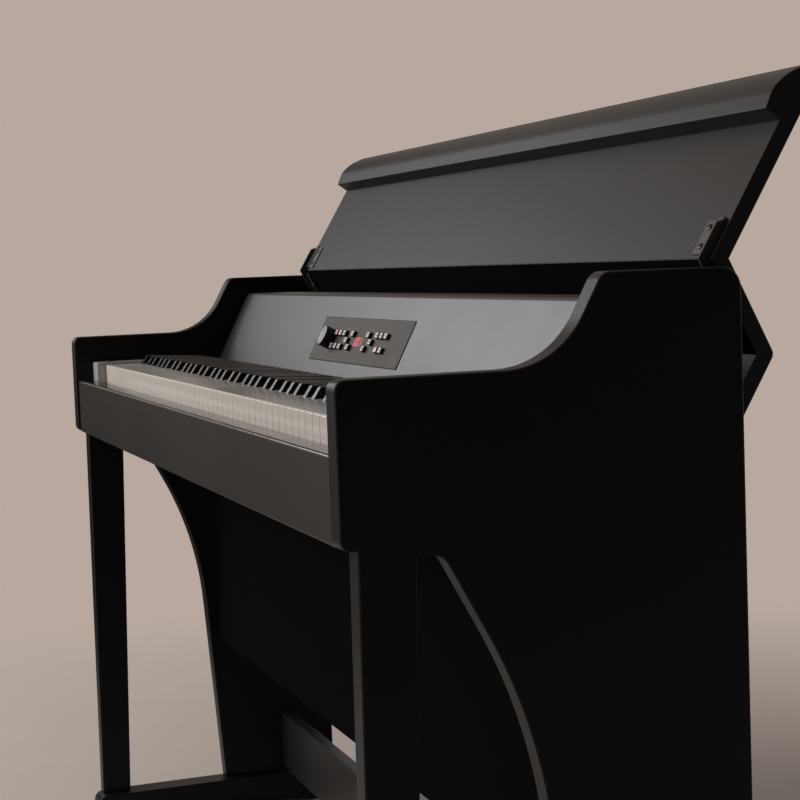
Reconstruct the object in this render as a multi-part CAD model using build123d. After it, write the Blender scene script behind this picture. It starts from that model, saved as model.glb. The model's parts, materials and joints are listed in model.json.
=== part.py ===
"""Digital piano in a slim cabinet with a folding lid.

Millimetres. +X is the player's right, +Y is the back, +Z is up, and the floor is at Z = 0.
Heights and depths are worked out about the middle of the cabinet. At the end everything is
shifted along Y, so that the origin lies under the middle of the box of the opened piano.
"""
import math
import os

from build123d import *

# Cabinet
overall_width = 1346
cabinet_depth = 384
arm_top = 760
arm_drop = 144
shoulder_rise = 81
panel_thickness = 25
shoulder_depth = 181
shoulder_run = 44.5
scoop_radius = 85
shoulder_radius = 14
rear_corner_radius = 19
arm_corner_radius = 10

# Stand
leg_setback = 15
leg_depth_top = 53
leg_depth_foot = 42
leg_rake = 4.5
arch_headroom = 9
arch_flat = 23
arch_knee_height = 442
arch_knee_depth = 205
arch_foot_depth = 178
arch_head_radius = 16
arch_bend_radius = 500
rail_height = 45
rail_width = 40
rail_corner_radius = 14
glide_height = 6
glide_radius = 15
glide_inset = 34

# Boards
keybed_thickness = 18
keyslip_thickness = 20
keyslip_height = 78.8
keyslip_setback = 4
keyslip_edge = 3
keyslip_step = 14.5
keyslip_step_drop = 5.3
board_thickness = 15
knee_board_from_rear = 180
knee_board_bottom = 276
back_panel_thickness = 10
back_panel_inset = 2
back_panel_top = 636
inner_board_thickness = 10
inner_board_from_rear = 44

# Keyboard
white_count = 52
cheek_width = 37
key_gap = 1
white_length = 150
white_depth = 30
white_top = 718
white_head = 48
white_nose = 1.6
black_width = 10
black_shift_of_two = 3.4
black_shift_of_three = 4.6
black_length = 95
black_rise = 12.5
black_rear_drop = 4.8
black_front_slope = 9.5
black_front_gap = 2
black_edge = 1.3
key_setback = 2
key_pivot_length = 220
key_tail = 8
key_tail_drop = 8
key_dip_angle = 2.6
ridge_radius = 3
ridge_clearance = 0.3
frame_base = 4
stop_rail_width = 10
stop_rail_from_front = 18
cheek_rise = 3.5
cheek_setback = 3
cheek_radius = 3

# Fallboard and controls
shelf_thickness = 6
shelf_drop = 1
fall_foot_from_rear = 163.3
fall_lean = 27.4
fall_top = 816
fall_thickness = 12
ledge_thickness = 12
arm_slot = 14
plate_width = 343
plate_height = 59.4
plate_thickness = 3
plate_proud = 1
plate_foot = 19.8
controls_drop = 1.2
window_width = 248
window_height = 38
fit_gap = 0.3
button_width = 10
button_height = 7
button_proud = 4
button_travel = 1.2
button_flange = 1
button_edge = 0.6
button_pitch = 16.2
button_row_pitch = 9.1
left_bank_gap = 2.7
right_bank_gap = 15.9
knob_gap = 1
knob_radius = 13.5
knob_height = 14
knob_lift = 0.5
knob_edge = 1.2
pointer_length = 8
pointer_width = 1.6
pointer_depth = 0.8
knob_shaft_radius = 3
running_clearance = 0.05
display_width = 32
display_height = 15
display_thickness = 2
circuit_thickness = 1.6
circuit_width = 290
circuit_height = 52
switch_size = 6
switch_gap = 0.2

# Lid
lid_thickness = 16
lid_scoop_advance = 6.8
lid_run = 53.3
lid_top_proud = 3.4
lid_corner_radius = 8
lid_end_gap = 2
lid_front_setback = 2
lid_rear_setback = 1
lid_pivot_from_rear = 67.3
lid_pivot_drop = 10.3
lid_open_angle = 121
nose_depth = 40
nose_tongue = 19
nose_slant = 1.5
nose_belly = 21
nose_belly_drop = 2.8
nose_belly_radius = 30
nose_brow = 19.4
nose_brow_rise = 7.5
nose_brow_radius = 50
nose_face = 16.5
nose_edge = 4
arm_plate = 3
arm_flange_width = 10
arm_flange_start = 5
arm_width = 24
arm_reach = 42
arm_strip = 9
arm_inset = 5
pin_radius = 4
pin_reach = 10
stop_distance = 40
stop_size = 8
bumper_radius = 6
bumper_height = 2

# Speakers and pedals
speaker_x = 420
speaker_width = 200
speaker_depth = 96
speaker_height = 84
speaker_ear = 20
speaker_ear_thickness = 6
cone_radius = 40
cone_depth = 16
cone_lip = 3
dome_radius = 14
pedal_rail_bottom = 56
pedal_rail_height = 90
pedal_rail_from_rear = 84
pedal_rail_thickness = 18
pedal_box_width = 250
pedal_box_depth = 56
pedal_box_height = 72
pedal_spacing = 66
pedal_slot_width = 27
pedal_slot_height = 40
pedal_slot_sill = 10
pedal_length = 122
pedal_thickness = 8
pedal_stem_width = 15
pedal_toe_width = 25
pedal_toe_length = 46
pedal_toe_radius = 11
pedal_flare_radius = 25
pedal_pivot_back = 14
trunnion_radius = 3.5
trunnion_length = 6
pedal_box_edge = 2
pedal_heel = 6
pedal_ear = 20
pedal_ear_thickness = 6
inlet_radius = 2.9
inlet_depth = 7
inlet_pin_radius = 1
inlet_x = -300

# Positions that follow from the sizes
front_y = -cabinet_depth / 2
rear_y = cabinet_depth / 2
outer_x = overall_width / 2
inner_x = outer_x - panel_thickness
arm_bottom = arm_top - arm_drop
panel_top = arm_top + shoulder_rise
rail_top = glide_height + rail_height
scoop_y = rear_y - shoulder_depth
shoulder_y = scoop_y + shoulder_run

keyslip_front = front_y + keyslip_setback
keyslip_lip = keyslip_front + keyslip_thickness
keyslip_rear = keyslip_lip + keyslip_step
keyslip_top = arm_bottom + keyslip_height
keyslip_step_top = keyslip_top - keyslip_step_drop
keybed_top = arm_bottom + keybed_thickness
inner_board_rear = rear_y - inner_board_from_rear
inner_board_front = inner_board_rear - inner_board_thickness

keyboard_half = inner_x - cheek_width
white_pitch = 2 * keyboard_half / white_count
key_front = keyslip_rear + key_setback
key_end = key_front + white_length
key_bottom = white_top - white_depth
key_pivot_y = key_front + key_pivot_length
key_tail_y = key_pivot_y + key_tail
key_tail_top = white_top - key_tail_drop
black_front = key_front + white_head
black_top = white_top + black_rise

shelf_top = white_top - shelf_drop
shelf_front = key_end + key_setback
fall_foot_y = rear_y - fall_foot_from_rear
lean = math.radians(fall_lean)
fall_top_y = fall_foot_y + (fall_top - shelf_top) * math.tan(lean)
fall_half_width = inner_x - arm_slot
panel_plane = Plane(
    origin=(0, fall_foot_y, shelf_top),
    x_dir=(1, 0, 0),
    z_dir=(0, -math.cos(lean), math.sin(lean)),
)
plate_middle = plate_foot + plate_height / 2
plate_back = plate_proud - plate_thickness
button_beside_display = (display_width + button_width) / 2

lid_pivot_y = rear_y - lid_pivot_from_rear
lid_pivot_z = arm_top - lid_pivot_drop
lid_half_width = inner_x - lid_end_gap
lid_axis = Axis((0, lid_pivot_y, lid_pivot_z), (1, 0, 0))
lid_front = front_y + lid_front_setback
lid_under = arm_top - lid_thickness
lid_scoop_y = scoop_y - lid_scoop_advance
lid_shoulder_y = lid_scoop_y + lid_run
lid_top = panel_top + lid_top_proud
lid_rise = lid_top - arm_top
shoulder_angle = math.atan2(lid_rise, lid_run)
mitre = lid_thickness * math.tan(shoulder_angle / 2)

pedal_box_rear = rear_y - pedal_rail_from_rear
pedal_box_front = pedal_box_rear - pedal_box_depth
pedal_pivot_y = pedal_box_rear - pedal_pivot_back
pedal_pivot_z = pedal_rail_bottom + pedal_slot_sill + pedal_slot_height / 2

nodes = {}


def outline(points):
    """Closed outline in the Y-Z plane. Each point is (y, z, corner radius)."""
    corners = [(y, z) for y, z, _ in points]
    radii = [radius for _, _, radius in points]
    return make_face(FilletPolyline(*corners, radius=radii, close=True))


def board(points, low_x, high_x):
    """A straight piece: one outline carried along X."""
    return extrude(Plane.YZ.offset(low_x) * outline(points), amount=high_x - low_x)


def sharp(points):
    """The same points with square corners."""
    return [(y, z, 0) for y, z in points]


def block(low, high):
    """A box between two corners."""
    size = [b - a for a, b in zip(low, high)]
    middle = [(a + b) / 2 for a, b in zip(low, high)]
    return Pos(*middle) * Box(*size)


def pair(shape):
    """A right-hand piece and its mirror image on the left."""
    return [shape, mirror(shape, about=Plane.YZ)]


def solids_of(shapes):
    """All the solids in a list of shapes."""
    return [solid for shape in shapes for solid in shape.solids()]


def add(name, *shapes):
    """Keep the pieces of one node."""
    nodes[name] = solids_of(shapes)


# Side boards: arm, scooped shoulder, leg and rear panel in one outline, with an arch between
def side_panel():
    leg_front = front_y + leg_setback
    arch_top = arm_bottom - arch_headroom
    leg_rear = leg_front + leg_depth_top
    points = [
        (front_y, arm_bottom, arm_corner_radius),
        (front_y, arm_top, arm_corner_radius),
        (scoop_y, arm_top, scoop_radius),
        (shoulder_y, panel_top, shoulder_radius),
        (rear_y, panel_top, rear_corner_radius),
        (rear_y, rail_top, 0),
        (rear_y - arch_foot_depth, rail_top, 0),
        (rear_y - arch_knee_depth, arch_knee_height, arch_bend_radius),
        (leg_rear + arch_flat, arch_top, arch_head_radius),
        (leg_rear, arch_top, 0),
        (leg_front - leg_rake + leg_depth_foot, rail_top, 0),
        (leg_front - leg_rake, rail_top, 0),
        (leg_front, arm_bottom, 0),
    ]
    return board(points, inner_x, outer_x)


def pin_at(y, z, inset):
    """A round pin that stands out of the right side board's inner face."""
    length = pin_reach + inset
    middle = inner_x + inset - length / 2
    return Pos(middle, y, z) * Rot(0, 90, 0) * Cylinder(pin_radius, length)


def lid_direction(closed_y, closed_z):
    """Direction from the lid's pivot to a point of the closed lid, once the lid is open."""
    angle = math.atan2(closed_z - lid_pivot_z, closed_y - lid_pivot_y)
    angle -= math.radians(lid_open_angle)
    return math.cos(angle), math.sin(angle)


arm_root_y = lid_scoop_y + mitre + lid_run / 2
arm_root_z = lid_under + lid_rise / 2
pin_seat = panel_thickness / 2
open_y, open_z = lid_direction(arm_root_y, arm_root_z)
stop_side = arm_width / 2 + stop_size / 2 + fit_gap
stop_y = lid_pivot_y + stop_distance * open_y + stop_side * open_z
stop_z = lid_pivot_z + stop_distance * open_z - stop_side * open_y
stop_turn = math.degrees(math.atan2(open_z, open_y))

lid_pin = pin_at(lid_pivot_y, lid_pivot_z, pin_seat)
right_panel = side_panel() - lid_pin
add("side_panel_right", right_panel)
add("side_panel_left", mirror(right_panel, about=Plane.YZ))
add("lid_pins", *pair(lid_pin))
lid_stop = Pos(inner_x - pin_reach / 2, stop_y, stop_z) * Rot(stop_turn, 0, 0) * Box(pin_reach, stop_size, stop_size)
add("lid_stops", *pair(lid_stop))

rail_points = [
    (front_y, glide_height, 0),
    (front_y, rail_top, rail_corner_radius),
    (rear_y, rail_top, rail_corner_radius),
    (rear_y, glide_height, 0),
]
add("foot_rails", *pair(board(rail_points, outer_x - rail_width, outer_x)))

glides = []
for glide_y in (front_y + glide_inset, rear_y - glide_inset):
    glide = Pos(outer_x - rail_width / 2, glide_y, glide_height / 2) * Cylinder(glide_radius, glide_height)
    glides += pair(glide)
add("floor_glides", *glides)

# Boards between the sides
keyslip_points = [
    (keyslip_front, arm_bottom, keyslip_edge),
    (keyslip_front, keyslip_top, keyslip_edge),
    (keyslip_lip, keyslip_top, keyslip_edge / 2),
    (keyslip_lip, keyslip_step_top, 0),
    (keyslip_rear, keyslip_step_top, 0),
    (keyslip_rear, arm_bottom, 0),
]
add("keyslip", board(keyslip_points, -inner_x, inner_x))

knee_y = rear_y - knee_board_from_rear
add("knee_board", block((-inner_x, knee_y, knee_board_bottom), (inner_x, knee_y + board_thickness, arm_bottom)))

back_rear = rear_y - back_panel_inset
back_panel = block(
    (-inner_x, back_rear - back_panel_thickness, knee_board_bottom),
    (inner_x, back_rear, back_panel_top),
)
inlet_z = (knee_board_bottom + back_panel_top) / 2
inlet_frame = Pos(inlet_x, back_rear - inlet_depth / 2, inlet_z) * Rot(90, 0, 0)
inlet = Cylinder(inlet_radius, inlet_depth) - Cylinder(inlet_pin_radius, inlet_depth)
add("back_panel", back_panel - inlet_frame * inlet)

add(
    "rear_inner_board",
    block(
        (-fall_half_width, inner_board_front, keybed_top),
        (fall_half_width, inner_board_rear, fall_top),
    ),
)

# Cheek blocks at the ends of the keys, with rubber bumpers that the closed lid's nose meets
cheek_top = white_top + cheek_rise
cheek_front = keyslip_lip + cheek_setback
cheek_points = [
    (cheek_front, keyslip_step_top, 0),
    (cheek_front, cheek_top, cheek_radius),
    (shelf_front, cheek_top, 0),
    (shelf_front, keybed_top, 0),
    (keyslip_rear, keybed_top, 0),
    (keyslip_rear, keyslip_step_top, 0),
]
add("cheek_blocks", *pair(board(cheek_points, keyboard_half + key_gap, inner_x)))

nose_rear = lid_front + nose_depth + nose_tongue
chin_y = nose_rear - nose_slant
bumper_x = (keyboard_half + key_gap + inner_x) / 2
bumper_y = chin_y - nose_belly / 2
bumper_reach = chin_y - bumper_y + bumper_radius
chin_z = cheek_top + bumper_height + fit_gap + bumper_reach * nose_belly_drop / nose_belly
bumper = Pos(bumper_x, bumper_y, cheek_top + bumper_height / 2) * Cylinder(bumper_radius, bumper_height)
add("lid_bumpers", *pair(bumper))


# Key frame: one extrusion with a stop rail in front and the ridge that the keys rock on
def key_frame():
    base = keybed_top + frame_base
    stop_front = key_front + stop_rail_from_front
    stop_reach = key_pivot_y - stop_front
    stop_top = key_bottom - stop_reach * math.tan(math.radians(key_dip_angle)) - fit_gap
    low = key_pivot_y - ridge_radius
    high = key_pivot_y + ridge_radius
    points = [
        (stop_front, keybed_top, 0),
        (stop_front, stop_top, 0),
        (stop_front + stop_rail_width, stop_top, 0),
        (stop_front + stop_rail_width, base, 0),
        (low, base, 0),
        (low, key_bottom, 0),
        (high, key_bottom, 0),
        (high, keybed_top, 0),
    ]
    ridge = Pos(0, key_pivot_y, key_bottom) * Rot(0, 90, 0) * Cylinder(ridge_radius, 2 * keyboard_half)
    return board(points, -keyboard_half, keyboard_half) + ridge


add("key_frame", key_frame())

# Keys: the white keys step in where a black key stands between two of them
note_names = "abcdefg"
black_offsets = {
    "c": -black_shift_of_two,
    "d": black_shift_of_two,
    "f": -black_shift_of_three,
    "g": 0,
    "a": black_shift_of_three,
}


def fulcrum_cut(low_x, high_x):
    """Notch in a key's underside that sits on the ridge."""
    reach = ridge_radius + ridge_clearance
    return block((low_x, key_pivot_y - reach, key_bottom), (high_x, key_pivot_y + reach, key_bottom + reach))


def black_middle(index):
    """X of the black key after a white key, or None where there is none."""
    name = note_names[index % len(note_names)]
    if name not in black_offsets or not 0 <= index < white_count - 1:
        return None
    return -keyboard_half + (index + 1) * white_pitch + black_offsets[name]


def white_key(index):
    left = -keyboard_half + index * white_pitch + key_gap / 2
    right = left + white_pitch - key_gap
    half = black_width / 2 + key_gap
    before = black_middle(index - 1)
    after = black_middle(index)
    rear_left = left if before is None else before + half
    rear_right = right if after is None else after - half
    step = black_front - black_front_gap
    plan = [(left, key_front), (right, key_front)]
    if after is not None:
        plan += [(right, step), (rear_right, step)]
    plan += [(rear_right, key_tail_y), (rear_left, key_tail_y)]
    if before is not None:
        plan += [(rear_left, step), (left, step)]
    key = extrude(Plane.XY.offset(key_bottom) * make_face(Polyline(*plan, close=True)), amount=white_depth)
    front_edge = key.edges().filter_by(Axis.X).group_by(Axis.Y)[0].sort_by(Axis.Z)[-1]
    key = chamfer(front_edge, white_nose)
    key -= block((left, key_end, key_tail_top), (right, key_tail_y, white_top))
    return key - fulcrum_cut(left, right)


def black_key(middle):
    low = middle - black_width / 2
    high = middle + black_width / 2
    rear = black_front + black_length
    cap = board(
        sharp([
            (black_front, key_bottom),
            (black_front, white_top - key_gap),
            (black_front + black_front_slope, black_top),
            (rear, black_top - black_rear_drop),
            (rear, key_bottom),
        ]),
        low,
        high,
    )
    top_edges = cap.faces().sort_by(Axis.Z)[-1].edges().filter_by(Axis.X, reverse=True)
    cap = chamfer(top_edges, black_edge)
    tail = block((low, rear, key_bottom), (high, key_tail_y, key_tail_top))
    return cap + tail - fulcrum_cut(low, high)


keys = {}
for white_index in range(white_count):
    note = note_names[white_index % len(note_names)]
    keys.setdefault("keys_" + note, []).append(white_key(white_index))
    black_x = black_middle(white_index)
    if black_x is not None:
        keys.setdefault("keys_" + note + "_sharp", []).append(black_key(black_x))
for key_name, key_shapes in keys.items():
    add(key_name, *key_shapes)


# Fallboard: shelf over the key tails, leaning face and ledge, in one moulded panel
def fallboard():
    back_step = fall_thickness / math.cos(lean)
    ledge_under = fall_top - ledge_thickness
    ledge_y = fall_foot_y + (ledge_under - shelf_top) * math.tan(lean) + back_step
    points = [
        (shelf_front, shelf_top - shelf_thickness, 0),
        (shelf_front, shelf_top, shelf_thickness / 3),
        (fall_foot_y, shelf_top, 0),
        (fall_top_y, fall_top, fall_thickness / 2),
        (inner_board_front, fall_top, 0),
        (inner_board_front, ledge_under, 0),
        (ledge_y, ledge_under, 0),
        (fall_foot_y + back_step - shelf_thickness * math.tan(lean), shelf_top - shelf_thickness, 0),
    ]
    shape = board(points, -inner_x, inner_x)
    for side in (-1, 1):
        ends = sorted((side * fall_half_width, side * inner_x))
        shape -= block((ends[0], shelf_front, shelf_top), (ends[1], inner_board_front, fall_top))
    seat = Pos(0, plate_middle, plate_back / 2) * Box(plate_width, plate_height, -plate_back)
    window = Pos(0, plate_middle, -fall_thickness / 2) * Box(window_width, window_height, fall_thickness)
    return shape - panel_plane * seat - panel_plane * window


add("fallboard", fallboard())

# Where the buttons are: (name, x, y on the plate)
rows = {"upper": button_row_pitch, "middle": 0, "lower": -button_row_pitch}
left_bank = {"upper": (0, 1, 2, 4), "middle": (3,), "lower": (0, 1, 2, 4)}
right_bank = {"upper": (0, 2, 3, 4), "middle": (1,), "lower": (0, 3, 4)}
left_columns = max(max(columns) for columns in left_bank.values())
left_bank_start = -button_beside_display - left_bank_gap - left_columns * button_pitch
right_bank_start = button_beside_display + right_bank_gap
knob_x = left_bank_start - button_width / 2 - knob_gap - knob_radius
button_places = []
for bank_name, bank, bank_start in (
    ("left", left_bank, left_bank_start),
    ("right", right_bank, right_bank_start),
):
    for row_name, columns in bank.items():
        for number, column in enumerate(columns, start=1):
            label = f"button_{bank_name}_{row_name}_{number}"
            button_places.append((label, bank_start + column * button_pitch, rows[row_name]))

controls_y = plate_middle - controls_drop


def control_plate():
    shape = Pos(0, plate_middle, (plate_proud + plate_back) / 2) * Box(plate_width, plate_height, plate_thickness)
    for _, x, y in button_places:
        hole = Box(button_width + 2 * fit_gap, button_height + 2 * fit_gap, 3 * plate_thickness)
        shape -= Pos(x, controls_y + y, 0) * hole
    shape -= Pos(knob_x, controls_y, 0) * Cylinder(knob_shaft_radius + running_clearance, 3 * plate_thickness)
    pocket = Box(display_width, display_height, display_thickness)
    shape -= Pos(0, controls_y, plate_proud - display_thickness / 2) * pocket
    return panel_plane * shape


def button(x, y):
    """Cap with a collar behind the plate and a stem that reaches its switch."""
    cap_low = plate_back - fit_gap - button_flange
    cap_high = plate_proud + button_proud
    cap = block((-button_width / 2, -button_height / 2, cap_low), (button_width / 2, button_height / 2, cap_high))
    cap = chamfer(cap.faces().sort_by(Axis.Z)[-1].edges(), button_edge)
    grow = 2 * fit_gap + button_flange
    flange = Box(button_width + grow, button_height + grow, button_flange)
    flange = Pos(0, 0, cap_low + button_flange / 2) * flange
    return panel_plane * Pos(x, controls_y + y, 0) * (cap + flange)


def circuit_board():
    """Board on the fallboard's back, with a switch behind each button."""
    top = -fall_thickness
    shape = Box(circuit_width, circuit_height, circuit_thickness)
    shape = Pos(0, controls_y, top - circuit_thickness / 2) * shape
    switch_top = plate_back - fit_gap - button_flange - button_travel - switch_gap
    for _, x, y in button_places:
        switch = block((-switch_size / 2, -switch_size / 2, top), (switch_size / 2, switch_size / 2, switch_top))
        shape += Pos(x, controls_y + y, 0) * switch
    return panel_plane * shape


def volume_knob():
    """Drum with a bevelled rim and a pointer groove, on a shaft through the plate."""
    drum_low = plate_proud + knob_lift
    drum = Pos(0, 0, drum_low + knob_height / 2) * Cylinder(knob_radius, knob_height)
    drum = chamfer(drum.edges().filter_by(GeomType.CIRCLE).sort_by(Axis.Z)[-1], knob_edge)
    drum_high = drum_low + knob_height
    groove = block(
        (-pointer_width / 2, knob_radius - pointer_length, drum_high - pointer_depth),
        (pointer_width / 2, knob_radius, drum_high),
    )
    shaft_low = -fall_thickness + knob_lift
    shaft = Pos(0, 0, (drum_low + shaft_low) / 2) * Cylinder(knob_shaft_radius, drum_low - shaft_low)
    return panel_plane * Pos(knob_x, controls_y, 0) * (drum - groove + shaft)


add("control_plate", control_plate())
display = Pos(0, controls_y, plate_proud - display_thickness / 2) * Box(display_width, display_height, display_thickness)
add("display_window", panel_plane * display)
add("main_board", circuit_board())
add("volume_knob", volume_knob())
for button_name, button_x, button_y in button_places:
    add(button_name, button(button_x, button_y))


# Lid: three boards and a nose rail, drawn closed and then turned open about the pivot
def lid_boards():
    rear = rear_y - lid_rear_setback
    joint = lid_front + nose_depth
    top_under = lid_top - lid_thickness
    cover = [(joint, arm_top), (lid_scoop_y, arm_top), (lid_scoop_y + mitre, lid_under), (joint, lid_under)]
    slope = [
        (lid_scoop_y, arm_top),
        (lid_shoulder_y, lid_top),
        (lid_shoulder_y + mitre, top_under),
        (lid_scoop_y + mitre, lid_under),
    ]
    top = [
        (lid_shoulder_y, lid_top),
        (rear, lid_top),
        (rear, top_under),
        (lid_shoulder_y + mitre, top_under),
    ]
    both = [
        (lid_scoop_y, arm_top, 0),
        (lid_shoulder_y, lid_top, lid_corner_radius),
        (rear, lid_top, 0),
        (rear, top_under, 0),
        (lid_shoulder_y + mitre, top_under, 0),
        (lid_scoop_y + mitre, lid_under, 0),
    ]
    rounded = board(both, -lid_half_width, lid_half_width)
    boards = [board(sharp(points), -lid_half_width, lid_half_width) for points in (cover, slope, top)]
    return [boards[0], boards[1] & rounded, boards[2] & rounded]


def nose_rail():
    joint = lid_front + nose_depth
    belly_y = chin_y - nose_belly
    belly_z = chin_z - nose_belly_drop
    points = [
        (lid_front, arm_top, nose_edge / 2),
        (joint, arm_top, 0),
        (joint, lid_under, 0),
        (nose_rear, lid_under, 0),
        (chin_y, chin_z, nose_edge / 3),
        (belly_y, belly_z, nose_belly_radius),
        (belly_y - nose_brow, belly_z + nose_brow_rise, nose_brow_radius),
        (lid_front, arm_top - nose_face, nose_edge),
    ]
    return board(points, -lid_half_width, lid_half_width)


def arm_face():
    """Outline of the arm's web: a strip along two boards, and a spoke to the pivot."""
    tip = arm_corner_y - arm_reach
    half_turn = math.tan(shoulder_angle / 2)
    up_y = arm_corner_y + arm_reach * slope_y
    up_z = lid_under + arm_reach * slope_z
    strip = Polyline(
        (tip, lid_under),
        (arm_corner_y, lid_under),
        (up_y, up_z),
        (up_y + arm_strip * slope_z, up_z - arm_strip * slope_y),
        (arm_corner_y + arm_strip * half_turn, lid_under - arm_strip),
        (tip + arm_strip, lid_under - arm_strip),
        close=True,
    )
    spoke_y = arm_root_y - lid_pivot_y
    spoke_z = arm_root_z - lid_pivot_z
    spoke = SlotCenterToCenter(math.hypot(spoke_y, spoke_z), arm_width)
    spoke = Rot(0, 0, math.degrees(math.atan2(spoke_z, spoke_y))) * spoke
    return make_face(strip) + Pos(lid_pivot_y + spoke_y / 2, lid_pivot_z + spoke_z / 2) * spoke


def lid_arm():
    """Right-hand arm: a web in the slot beside the fallboard, with a flange for each board."""
    web = extrude(Plane.YZ.offset(arm_low_x) * arm_face(), amount=arm_plate)
    flange_low = arm_low_x - arm_flange_width
    tip = arm_corner_y - arm_reach
    cover_end = arm_corner_y - arm_flange_start
    cover_flange = block((flange_low, tip, lid_under - arm_plate), (arm_low_x, cover_end, lid_under))
    slope_flange = block((arm_flange_start, flange_low, 0), (arm_reach, arm_low_x, arm_plate))
    board_side = block((0, flange_low, -lid_thickness), (2 * arm_reach, lid_half_width, 0))
    bore = Pos(arm_low_x, lid_pivot_y, lid_pivot_z) * Rot(0, 90, 0)
    bore = bore * Cylinder(pin_radius + running_clearance, 4 * arm_plate)
    return web + cover_flange + slope_plane * slope_flange - slope_plane * board_side - bore


slope_length = math.hypot(lid_run, lid_rise)
slope_y = lid_run / slope_length
slope_z = lid_rise / slope_length
arm_corner_y = lid_scoop_y + mitre
arm_low_x = lid_half_width - arm_inset - arm_plate
slope_plane = Plane(origin=(0, arm_corner_y, lid_under), x_dir=(0, slope_y, slope_z), z_dir=(0, slope_z, -slope_y))

cover_board, slope_board, top_board = lid_boards()
lid_pieces = {
    "key_cover_board": [cover_board],
    "slope_board": [slope_board],
    "top_board": [top_board],
    "nose_rail": [nose_rail()],
    "lid_arms": pair(lid_arm()),
}
for piece_name, shapes in lid_pieces.items():
    add(piece_name, *[shape.rotate(lid_axis, -lid_open_angle) for shape in shapes])


# Speakers: boxed drivers that fire down, fixed under the keybed behind the knee board
def speaker(x, y):
    ear_z = arm_bottom - speaker_ear_thickness / 2
    shape = Pos(x, y, ear_z) * Box(speaker_width + 2 * speaker_ear, speaker_depth, speaker_ear_thickness)
    shape += Pos(x, y, arm_bottom - speaker_height / 2) * Box(speaker_width, speaker_depth, speaker_height)
    mouth = arm_bottom - speaker_height
    surround = Cylinder(cone_radius + cone_lip, cone_lip)
    shape += Pos(x, y, mouth - cone_lip / 2) * surround
    cone_height = cone_depth + cone_lip
    return shape - Pos(x, y, mouth - cone_lip + cone_height / 2) * Cone(cone_radius, dome_radius, cone_height)


# Pedals: a rail between the sides, and a housing with a slot for each pedal
def pedal_box():
    low_z = pedal_rail_bottom
    half = pedal_box_width / 2
    shape = block((-half, pedal_box_front, low_z), (half, pedal_box_rear, low_z + pedal_box_height))
    rim = shape.faces().sort_by(Axis.Y)[0].edges()
    shape = chamfer(rim, pedal_box_edge)
    ear_low = low_z + pedal_slot_sill
    ear_high = low_z + pedal_box_height - pedal_slot_sill
    ear_half = half + pedal_ear
    shape += block((-ear_half, pedal_box_rear - pedal_ear_thickness, ear_low), (ear_half, pedal_box_rear, ear_high))
    slot_low = low_z + pedal_slot_sill
    for x in pedal_places.values():
        slot_half = pedal_slot_width / 2
        shape -= block(
            (x - slot_half, pedal_box_front, slot_low),
            (x + slot_half, pedal_box_rear - pedal_ear_thickness, slot_low + pedal_slot_height),
        )
        reach = pedal_slot_width + 2 * trunnion_length
        shape -= trunnion(x, trunnion_radius + running_clearance, reach)
    return shape


def trunnion(x, radius, length):
    """A round bar on the pedals' axis."""
    return Pos(x, pedal_pivot_y, pedal_pivot_z) * Rot(0, 90, 0) * Cylinder(radius, length)


def pedal(x):
    """Lever with a broad rounded toe, and two trunnions near its heel."""
    toe_y = pedal_pivot_y - pedal_length
    heel_y = pedal_pivot_y + pedal_heel
    stem = pedal_stem_width / 2
    toe = pedal_toe_width / 2
    flare = [pedal_flare_radius, pedal_flare_radius]
    toe_corners = [pedal_toe_radius, pedal_toe_radius]
    plan = FilletPolyline(
        (-stem, heel_y),
        (-stem, toe_y + pedal_toe_length + pedal_toe_width),
        (-toe, toe_y + pedal_toe_length),
        (-toe, toe_y),
        (toe, toe_y),
        (toe, toe_y + pedal_toe_length),
        (stem, toe_y + pedal_toe_length + pedal_toe_width),
        (stem, heel_y),
        radius=[0, *flare, *toe_corners, *flare, 0],
        close=True,
    )
    low_z = pedal_pivot_z - pedal_thickness / 2
    lever = extrude(Plane.XY.offset(low_z) * make_face(plan), amount=pedal_thickness)
    lever = Pos(x, 0, 0) * lever
    return lever + trunnion(x, trunnion_radius, pedal_slot_width + 2 * trunnion_length - 2 * fit_gap)


pedal_places = {"pedal_soft": -pedal_spacing, "pedal_sostenuto": 0, "pedal_damper": pedal_spacing}
add("pedal_box", pedal_box())
for pedal_name, pedal_x in pedal_places.items():
    add(pedal_name, pedal(pedal_x))

add(
    "pedal_rail",
    block(
        (-inner_x, pedal_box_rear, pedal_rail_bottom),
        (inner_x, pedal_box_rear + pedal_rail_thickness, pedal_rail_bottom + pedal_rail_height),
    ),
)
add("keybed", block((-inner_x, keyslip_rear, arm_bottom), (inner_x, inner_board_rear, keybed_top)))
speaker_y = (knee_y + board_thickness + back_rear - back_panel_thickness) / 2
add("speakers", *[speaker(x, speaker_y) for x in (-speaker_x, speaker_x)])

# Origin under the middle of the opened piano: its nose rail reaches furthest back
lid_reach = max(solid.bounding_box().max.Y for solid in nodes["nose_rail"])
middle_y = (front_y + lid_reach) / 2
os.makedirs("parts", exist_ok=True)
for node_name, solids in nodes.items():
    moved = [Pos(0, -middle_y, 0) * solid for solid in solids]
    export_step(Compound(children=moved), f"parts/{node_name}.step")
print("nodes", len(nodes), "depth", lid_reach - front_y, "shift", -middle_y)
print("lid pivot", lid_pivot_y - middle_y, lid_pivot_z)
print("key pivot", key_pivot_y - middle_y, key_bottom)
print("pedal pivot", pedal_pivot_y - middle_y, pedal_pivot_z)
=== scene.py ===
# %% [markdown]
# # A digital piano on its stand
# The solids of the piano come from CAD and are already in place, in metres, with the floor at
# Z = 0 and the player in front, at -Y. In this lesson they get rounded edges, small fittings
# and finishes, one step at a time. Nothing is moved: each new piece sits where its solid sits.

# %% Load the solids
import json
import math

import bpy
from mathutils import Matrix, Vector


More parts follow.
